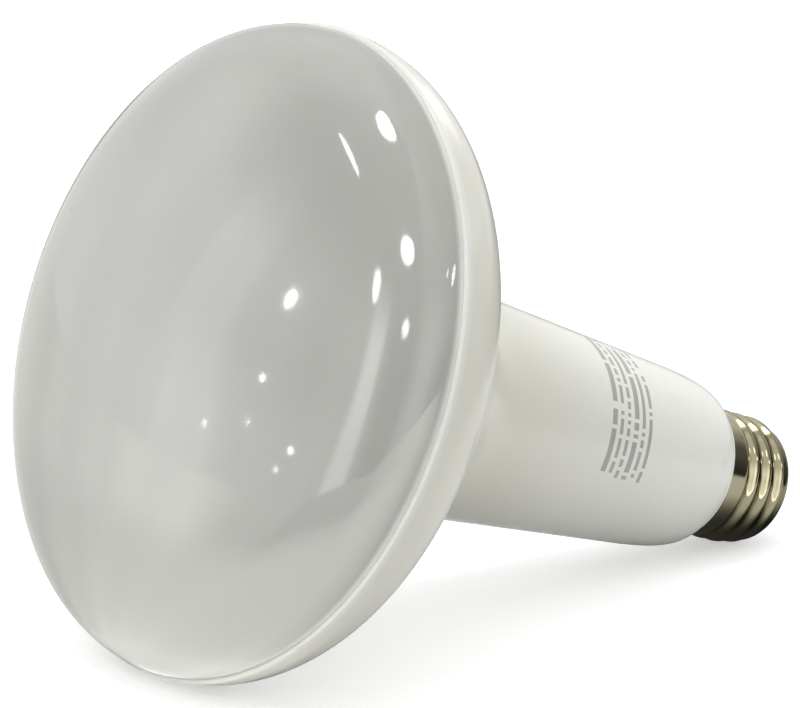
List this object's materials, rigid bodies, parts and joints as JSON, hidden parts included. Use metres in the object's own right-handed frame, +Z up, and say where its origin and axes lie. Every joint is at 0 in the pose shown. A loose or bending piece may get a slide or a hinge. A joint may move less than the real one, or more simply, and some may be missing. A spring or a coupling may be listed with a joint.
{
  "type": "reflector bulb",
  "caption": "Wide reflector lamp with a shallow milky dome, a white bell that narrows to a long neck, and a medium screw cap.",
  "frame": {"origin": "on the surface that the lamp lies on, under the middle of its length and width", "axes": "+Z up; the lamp lies on its side on its rim and its cap, cap towards +X, dome towards -X, its own axis 20.7 degrees above the surface"},
  "size_m": [0.1614, 0.122, 0.1156],
  "materials": {
    "milky_plastic": "glossy milky diffuser",
    "white_plastic": "glossy white moulding",
    "plated_brass": "rolled nickel plate",
    "black_glass": "glossy black insulator",
    "contact_metal": "dull plated contact"
  },
  "bodies": {
    "root": {"diffuser_dome": "milky_plastic", "housing": "white_plastic", "screw_shell": "plated_brass", "insulator": "black_glass", "centre_contact": "contact_metal"}
  },
  "joints": []
}
